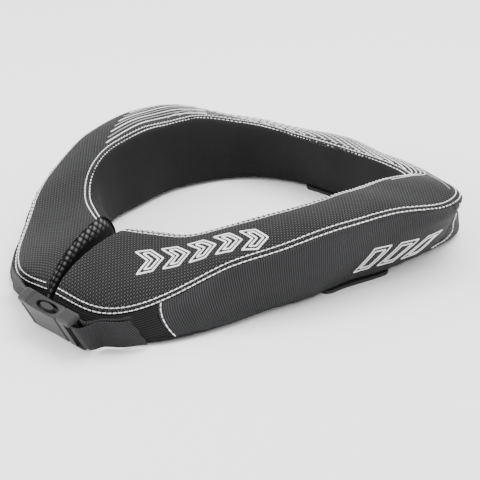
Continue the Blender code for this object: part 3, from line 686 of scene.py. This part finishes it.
# %% [markdown]
# A line of stitching can follow a panel's edge, at a distance measured over the cloth. A free line,
# such as the sweep round each rear corner, is drawn in angles and shares instead and dropped on to the
# bands by casting rays at them, so that it stays on the folds.

# %% Lines on the panels
TURN_STEP, DOWN_STEP = 0.5, 0.02  # degrees and a share, to find which way the side faces
RAY_LIFT = 0.01  # metres off the cloth, where a ray starts
side_cloths = (band_right, band_left, band_back)
side_trees = [BVHTree.FromObject(piece, bpy.context.evaluated_depsgraph_get()) for piece in side_cloths]


def line_on(surface, distance, axis=1):
    """The line on a panel at a distance from its first edge, or from its last if that is negative."""
    points, normals, lengths = surface.points, surface.normals, surface.across
    if axis == 0:
        points, normals, lengths = points.swapaxes(0, 1), normals.swapaxes(0, 1), surface.along.T
    path, up = [], []
    for p, n, run in zip(points, normals, lengths):
        at = distance if distance > 0 else run[-1] + distance
        path.append([np.interp(at, run, p[:, k]) for k in range(3)])
        up.append([np.interp(at, run, n[:, k]) for k in range(3)])
    return np.array(path), np.array(up)


def on_side(points):
    """Points and normals on the bands round the outer side, from an angle and a t for each."""
    angle, t = np.array(points).T
    starts = place("side", t, angle)
    away = place("side", t, angle + TURN_STEP) - place("side", t, angle - TURN_STEP)
    out = np.cross(away, place("side", t + DOWN_STEP, angle) - starts)
    out *= np.sign((out[:, :2] * (starts - RING)[:, :2]).sum(1, keepdims=True))
    path, up = [], []
    for start, way in zip(starts, out):
        way = Vector(way).normalized()
        origin = Vector(start) + way * RAY_LIFT
        hits = [tree.ray_cast(origin, -way, 2 * RAY_LIFT) for tree in side_trees]
        hit, normal, _, _ = min((h for h in hits if h[0]), key=lambda h: h[3])
        path.append(hit)
        up.append(normal)
    return np.array(path), np.array(up)


def rounded(points, count):
    """A smooth curve through a few points, by cutting their corners again and again."""
    points = np.array(points, float)
    for _ in range(count):
        near = points[:-1] * 0.75 + points[1:] * 0.25
        far = points[:-1] * 0.25 + points[1:] * 0.75
        between = np.stack([near, far], 1).reshape(-1, points.shape[1])
        points = np.concatenate([points[:1], between, points[-1:]])
    return points


print("bands to stitch on:", [piece.name for piece in side_cloths])

# %% [markdown]
# The collar is topstitched in white: two rows along both seams of the top, one beside each front seam,
# one under the back's outer seam, and the sweeps. The stitches are what the eye reads first in the
# photo, so each is a real body that catches the light, and not a dashed line in a picture.

# %% Rows of stitching
STITCH_PITCH, STITCH, THREAD = 0.0034, 0.0032, 0.0008
SEAM_ROW = 0.0018  # beside a front seam
BACK_ROW = 0.018  # under the outer seam of the back
SWEEP = (  # angles and shares down the side
    (118.5, 0.05), (121.0, 0.16), (124.0, 0.36), (127.5, 0.58), (130.0, 0.76), (127.5, 0.89), (121.0, 0.90),
)
SWEEP_ROUNDS = 3

lines = [line_on(top, distance) for row in ROWS for distance in (row, -row)]
lines += [line_on(side_right, SEAM_ROW, axis=0), line_on(side_left, -SEAM_ROW, axis=0)]
lines += [line_on(side_back, BACK_ROW)]
sweep = rounded(SWEEP, SWEEP_ROUNDS)
lines += [on_side(sweep), on_side([(360 - angle, t) for angle, t in sweep])]
seams = Bundle()
for path, up in lines:
    seams.stitches(path, up, STITCH_PITCH, STITCH, THREAD)
top_stitching = seams.finish("top_stitching", white_thread, "woven_nylon")
print("stitching:", len(lines), "rows,", len(top_stitching.data.polygons), "faces")

# %% [markdown]
# Embroidery. The motifs are plain ones: a row of outlined chevrons on the arm, a lattice across the
# back and three bars on the side. A flat drawing is dropped on to the cloth by casting rays down to it.
# A shrinkwrap modifier does the same for a whole object, but it would press the thread's own roundness
# flat as well.

# %% Drawing on the cloth
RAY_HEIGHT = 0.2  # metres, above the whole collar
top_tree = BVHTree.FromObject(top_cloth, bpy.context.evaluated_depsgraph_get())


def on_top(points):
    """Points and normals on the top cloth under given places."""
    path, up = [], []
    for x, y in points:
        hit, normal, _, _ = top_tree.ray_cast(Vector((x, y, RAY_HEIGHT)), Vector((0, 0, -1)))
        path.append(hit)
        up.append(normal)
    return np.array(path), np.array(up)


def dense(points, step, closed):
    """Points at even steps along straight runs between given ones."""
    points = np.array(points, float)
    if closed:
        points = np.append(points, points[:1], 0)
    run = np.append(0, np.cumsum(np.linalg.norm(np.diff(points, axis=0), axis=1)))
    at = np.linspace(0, run[-1], max(3, int(run[-1] / step)))
    at = at[:-1] if closed else at
    return np.stack([np.interp(at, run, points[:, k]) for k in range(points.shape[1])], 1)


def inset(outline, depth):
    """A closed outline moved inwards, with its corners kept."""
    points = np.array(outline, float)
    ahead = np.roll(points, -1, 0) - points
    ahead /= np.linalg.norm(ahead, axis=1, keepdims=True)
    normal = np.stack([-ahead[:, 1], ahead[:, 0]], 1)
    before = np.roll(normal, 1, 0)
    return points + depth * (normal + before) / (1 + (normal * before).sum(1, keepdims=True))


crest = on_top(place("top", np.array([0.5]), np.array([180.0]))[:, :2])[0][0]
print("the middle of the back is at z =", round(float(crest[2]), 4))

# %% [markdown]
# The chevrons are raised lines of thread, and each has a double outline. Six corners are drawn once
# and moved along the arm by a pitch, and the inner line is the same outline moved inwards. Drawing it
# flat first keeps its corners sharp, which they wouldn't be if each line were laid out on the cloth.

# %% Chevrons on the right arm
CHEVRONS, CHEVRON_PITCH = 5, 0.0160
CHEVRON_WIDE, CHEVRON_TALL, CHEVRON_POINT = 0.0095, 0.0160, 0.0070
LABEL_FROM, LABEL_TO = np.array((0.0395, -0.1160)), np.array((0.0878, -0.0628))  # along the arm
LINE_STEP, DOUBLE_LINE = 0.0006, 0.0021
CHEVRON_THREAD = (0.0013, 0.0008)  # width and height
label_along = (LABEL_TO - LABEL_FROM) / np.linalg.norm(LABEL_TO - LABEL_FROM)
label_up = np.array((-label_along[1], label_along[0]))
motifs = Bundle()
for k in range(CHEVRONS):
    start = k * CHEVRON_PITCH
    outline = [
        (start, 0), (start + CHEVRON_WIDE, 0), (start + CHEVRON_WIDE + CHEVRON_POINT, CHEVRON_TALL / 2),
        (start + CHEVRON_WIDE, CHEVRON_TALL), (start, CHEVRON_TALL), (start + CHEVRON_POINT, CHEVRON_TALL / 2),
    ]
    for line in (outline, inset(outline, DOUBLE_LINE)):
        drawn = dense(line, LINE_STEP, closed=True)
        upward = (drawn[:, 1:] - CHEVRON_TALL / 2) * label_up
        flat = LABEL_FROM + RING[:2] + drawn[:, :1] * label_along + upward
        motifs.tube(*on_top(flat), *CHEVRON_THREAD, closed=True)
print("motifs:", CHEVRONS, "chevrons")

# %% [markdown]
# The back is covered by a lattice: two families of long threads that slant across the pad from seam to
# seam, one white and one grey. Beyond it, pinstripes run out along the left arm, each a little
# shorter than the one before. All are lines of constant share or constant slant on the top panel, so
# the ring's own table bends them round the corners.

# %% Lattice and pinstripes
LATTICE_FROM, LATTICE_TO, LATTICE_STEP, LATTICE_SLANT = 139.0, 228.0, 5.2, 34.0  # degrees
LATTICE_EDGE = (0.17, 0.86)  # shares of the way across the pad
LATTICE_THREAD = (0.0009, 0.0005)  # width and height
STRIPES, STRIPE_STEP = 7, 0.095
STRIPE_END, STRIPE_SHORTER = 284.0, 5.0  # degrees
STRIPE_THREAD = (0.0012, 0.0007)
pinstripes = Bundle()
across_pad = np.linspace(*LATTICE_EDGE, 40)
share_across = (across_pad - LATTICE_EDGE[0]) / (LATTICE_EDGE[1] - LATTICE_EDGE[0])
lattice_starts = np.arange(LATTICE_FROM, LATTICE_TO, LATTICE_STEP)
for start in lattice_starts:
    for bundle, slant in ((motifs, LATTICE_SLANT), (pinstripes, -LATTICE_SLANT)):
        angle = start + slant * (share_across - 0.5)
        bundle.tube(*on_top(place("top", across_pad, angle)[:, :2]), *LATTICE_THREAD)
for k in range(STRIPES):
    t = LATTICE_EDGE[0] + (k + 0.5) * STRIPE_STEP
    angle = np.linspace(LATTICE_TO, STRIPE_END - STRIPE_SHORTER * k, 90)
    bundle = pinstripes if k % 2 else motifs
    bundle.tube(*on_top(place("top", t, angle)[:, :2]), *STRIPE_THREAD)
print("threads of the lattice:", 2 * len(lattice_starts), "and pinstripes:", STRIPES)

# %% [markdown]
# The mark on the right side is three slanting bars with a double outline, drawn as the chevrons are,
# but in degrees round the ring and shares down its side. Those two aren't the same length, so the
# drawing is squared before it is inset, and turned back after.

# %% Bars on the right side
BARS, BAR_PITCH, BAR_LONG, BAR_SLANT = 3, 8.6, 5.6, 3.4  # degrees round the ring
BAR_FROM, BAR_TOP, BAR_FOOT = 91.0, 0.46, 0.82
BAR_DOUBLE, BAR_STEP = 1.0, 0.25  # degrees
BAR_THREAD = (0.0010, 0.0009)
SQUARED = (1, 20)  # the whole way down the side is as long as 20 degrees
for k in range(BARS):
    start = BAR_FROM + k * BAR_PITCH
    end = start + BAR_LONG
    foot = [(start, BAR_FOOT), (end, BAR_FOOT)]
    outline = np.array([*foot, (end + BAR_SLANT, BAR_TOP), (start + BAR_SLANT, BAR_TOP)])
    for line in (outline * SQUARED, inset(outline[::-1] * SQUARED, BAR_DOUBLE)):
        path, up = on_side(dense(line, BAR_STEP, closed=True) / SQUARED)
        motifs.tube(path, up, *BAR_THREAD, closed=True)
motifs.finish("white_motifs", white_thread, "woven_nylon")
pinstripes.finish("grey_pinstripes", grey_thread, "woven_nylon")
print("bars:", BARS)

# %% [markdown]
# The webbing's route is the CAD model's: beside a front panel, behind the buckle, round a bar and back.
# It could be a curve with a flat bevel, but that twists where the strap leans. Here each place on the
# route says which way is across as well, so the strap leans just as it should.

# %% Where the webbing runs
WEB_WIDTH, WEB_THICK, STRAP_CLEAR, LAYER_GAP = 0.019, 0.0015, 0.0006, 0.0009
STRAP_AHEAD, STRAP_LEAN = 0.0070, math.radians(14)
BUCKLE_HEIGHT, BUCKLE_DEPTH, SOCKET_LENGTH, CLIP_FACE, CLIP_SLOT = 0.025, 0.010, 0.037, 0.008, 0.0027
BAR_RADIUS, SHELL, FIT = 0.0019, 0.002, 0.0003
BUCKLE_SIDE, BUCKLE_AHEAD = 0.0245, 0.022
BUCKLE_LEAN, BUCKLE_TURN = math.radians(28), math.radians(-4)
SOCKET_END = -(SOCKET_LENGTH + CLIP_FACE) / 2
BAR = (SOCKET_END + SOCKET_LENGTH + CLIP_FACE + CLIP_SLOT + BAR_RADIUS, BUCKLE_DEPTH / 2)
SOCKET_BAR = (SOCKET_END + SHELL + WEB_THICK + BAR_RADIUS, BUCKLE_DEPTH - BAR_RADIUS - WEB_THICK)
BEND_STEPS, LEAD = 6, 3  # of the half turn round a bar, and its straight lead in bar radii

turned = Matrix.Rotation(BUCKLE_TURN, 4, "Z") @ Matrix.Rotation(BUCKLE_LEAN, 4, "X")
lowest = min((turned @ Vector((0, y, -BUCKLE_HEIGHT / 2))).z for y in (0, BUCKLE_DEPTH))
ahead = float(corners(0.0)["outer base"][0]) + BUCKLE_AHEAD
buckle = Matrix.Translation(Vector((BUCKLE_SIDE, -ahead, FIT - lowest)) + Vector(RING)) @ turned


def beside_panel(angle, clear, lean=0.0):
    """A place for webbing in front of a front panel: its middle, and its direction across."""
    r = float(section("side", np.array(1.0), np.array(angle % 360.0))[0]) + clear + WEB_THICK / 2
    turn = math.radians(angle)
    out = Vector((math.sin(turn), -math.cos(turn), 0))
    across = Vector((0, 0, math.cos(lean))) + out * math.sin(lean)
    return out * r + Vector(RING) + Vector((0, 0, BASE_LIFT)) + across * WEB_WIDTH / 2, across


def round_bar(bar, side):
    """Webbing half round a bar of the buckle, with a straight lead each way."""
    x, y = bar
    radius = BAR_RADIUS + FIT + WEB_THICK / 2
    turns = [math.pi * (1 - k / BEND_STEPS) for k in range(BEND_STEPS + 1)]
    bend = [(x + side * radius * math.sin(a), y - radius * math.cos(a)) for a in turns]
    lead = x - side * LEAD * BAR_RADIUS
    across = buckle.to_3x3() @ Vector((0, 0, 1))
    return [(buckle @ Vector((*at, 0)), across) for at in [(lead, y + radius), *bend, (lead, y - radius)]]


def follow(places, steps):
    """A smooth curve through places, each a middle and a direction across."""
    rows = np.array([[*centre, *across] for centre, across in places])
    length = np.linalg.norm(np.diff(rows[:, :3], axis=0), axis=1)[:, None]
    pace = np.diff(rows, axis=0) / length
    inner = (pace[:-1] * length[1:] + pace[1:] * length[:-1]) / (length[1:] + length[:-1])
    slope = np.concatenate([pace[:1], inner, pace[-1:]])
    made = []
    for k, span in enumerate(length):
        for t in np.arange(steps) / steps:
            start = rows[k] * (1 + 2 * t) * (1 - t) ** 2 + slope[k] * span * t * (1 - t) ** 2
            made.append(start + rows[k + 1] * (3 - 2 * t) * t**2 + slope[k + 1] * span * (t - 1) * t**2)
    return np.array([*made, rows[-1]])


print("the buckle is at", [round(c, 3) for c in buckle.translation])

# %% [markdown]
# Each strap is a strip with soft edges, whose ribs are in the finish, because a simulation would gain
# nothing on a taut strap. The right one has two layers, with a free tail outside that is cut aslant,
# along the ribs. The left one is sewn down and ends at the socket's bar.

# %% Webbing straps
WEB_STEPS, WEB_COLUMNS = 14, 18
SOFT_WIDE, SOFT_THICK = 0.45, 0.3  # less than 1 squares the strip's oval section
TAIL_CUT, CUT_REACH = 0.008, 0.030
SEWN_ANGLE, TAIL_ANGLE, LEAVES_ANGLE = 25.0, 26.8, 20.2  # degrees from the front, on the right
UNDER_LEANS = (0.6, 0.7, 0.8)  # the layer underneath stands straighter than the tail
LEFT_SEWN, LEFT_LEAVES, LEFT_CROSSES = -15.0, -12.0, -7.5


def webbing(name, places, replaced, cut=0.0):
    rows = follow(places, WEB_STEPS)
    centre, across = rows[:, :3], rows[:, 3:] / np.linalg.norm(rows[:, 3:], axis=1, keepdims=True)
    forward = np.gradient(centre, axis=0)
    forward /= np.linalg.norm(forward, axis=1, keepdims=True)
    out = np.cross(forward, across)
    passed = np.append(0, np.cumsum(np.linalg.norm(np.diff(centre, axis=0), axis=1)))
    slanted = np.clip(1 - (passed[-1] - passed) / CUT_REACH, 0, 1) * cut
    turn = 2 * np.pi * np.arange(2 * WEB_COLUMNS) / (2 * WEB_COLUMNS)
    wide = np.sign(np.cos(turn)) * np.abs(np.cos(turn)) ** SOFT_WIDE / 2
    thick = np.sign(np.sin(turn)) * np.abs(np.sin(turn)) ** SOFT_THICK / 2
    points = centre[:, None] + across[:, None] * (wide * WEB_WIDTH)[:, None]
    points = points + out[:, None] * (thick * WEB_THICK)[:, None]
    points -= forward[:, None] * (slanted[:, None] * wide)[..., None]
    ring = points.shape[1]
    at = np.arange(points.shape[0] * ring).reshape(-1, ring)
    pairs = [(a, b) for a, b in zip(at, at[1:])]
    faces = [[int(a[i]), int(b[i]), int(b[i - 1]), int(a[i - 1])] for a, b in pairs for i in range(ring)]
    faces += [[int(i) for i in at[0]], [int(i) for i in at[-1]]]
    uv = np.stack([passed[:, None] - slanted[:, None] * wide, wide * WEB_WIDTH + 0 * passed[:, None]], 2)
    return build(name, points.reshape(-1, 3), faces, web, replaced, uv.reshape(-1, 2))


middle_angle = (TAIL_ANGLE + LEAVES_ANGLE) / 2
middle_clear = STRAP_CLEAR + STRAP_AHEAD / 2
outside = WEB_THICK + LAYER_GAP
straps = [
    webbing("webbing_right", [
        beside_panel(SEWN_ANGLE, STRAP_CLEAR, UNDER_LEANS[0] * STRAP_LEAN),
        beside_panel(middle_angle, middle_clear, UNDER_LEANS[1] * STRAP_LEAN),
        beside_panel(LEAVES_ANGLE, STRAP_AHEAD, UNDER_LEANS[2] * STRAP_LEAN),
        *round_bar(BAR, -1),
        beside_panel(LEAVES_ANGLE, STRAP_AHEAD + outside, STRAP_LEAN),
        beside_panel(middle_angle, middle_clear + outside, STRAP_LEAN),
        beside_panel(TAIL_ANGLE, STRAP_CLEAR + outside, STRAP_LEAN),
    ], "strap_right", TAIL_CUT),
    webbing("webbing_left", [
        beside_panel(LEFT_SEWN, STRAP_CLEAR),
        beside_panel(LEFT_LEAVES, STRAP_CLEAR, STRAP_LEAN / 2),
        beside_panel(LEFT_CROSSES, 2 * STRAP_CLEAR, STRAP_LEAN),
        *round_bar(SOCKET_BAR, 1)[:-1],
    ], "strap_left"),
]
print("webbing:", [strap.name for strap in straps])

# %% [markdown]
# A pale floor and soft light, as in a studio. A big softbox on the left gives the top its sheen, one
# overhead lights the back, and a bright world keeps the shadows open, as they are in the photo. Small
# or hard lamps would draw dark edges under every stitch.

# %% Floor and light
FLOOR_SHADE, FLOOR_SIZE = 0.95, 8
WORLD_STRENGTH = 1.9
LIT_POINT = Vector((0, 0, 0.03))  # the middle of the collar
floor_finish = Finish("pale floor", 0.9, Base_Color=(FLOOR_SHADE, FLOOR_SHADE, FLOOR_SHADE, 1))
bpy.ops.mesh.primitive_plane_add(size=FLOOR_SIZE, location=(0, 0, 0))
floor = bpy.context.object
floor.name = "floor"
floor.data.materials.append(floor_finish.material)

world = bpy.data.worlds.new("studio")
bpy.context.scene.world = world
world.use_nodes = True
world.node_tree.nodes["Background"].inputs["Color"].default_value = (1, 1, 1, 1)
world.node_tree.nodes["Background"].inputs["Strength"].default_value = WORLD_STRENGTH


def softbox(name, place_at, size, power):
    """A square light that faces the collar."""
    light = bpy.data.lights.new(name, "AREA")
    light.shape, light.size, light.energy = "SQUARE", size, power
    made = bpy.data.objects.new(name, light)
    bpy.context.scene.collection.objects.link(made)
    made.location = place_at
    made.rotation_euler = (Vector(place_at) - LIT_POINT).to_track_quat("Z", "Y").to_euler()
    return made


softbox_front = softbox("softbox_front", (-0.8, -1.3, 0.6), 0.8, 26)
softbox_top = softbox("softbox_top", (0.1, 0.5, 1.5), 1.2, 30)
print("studio lit by", softbox_front.name, "and", softbox_top.name)

# %% [markdown]
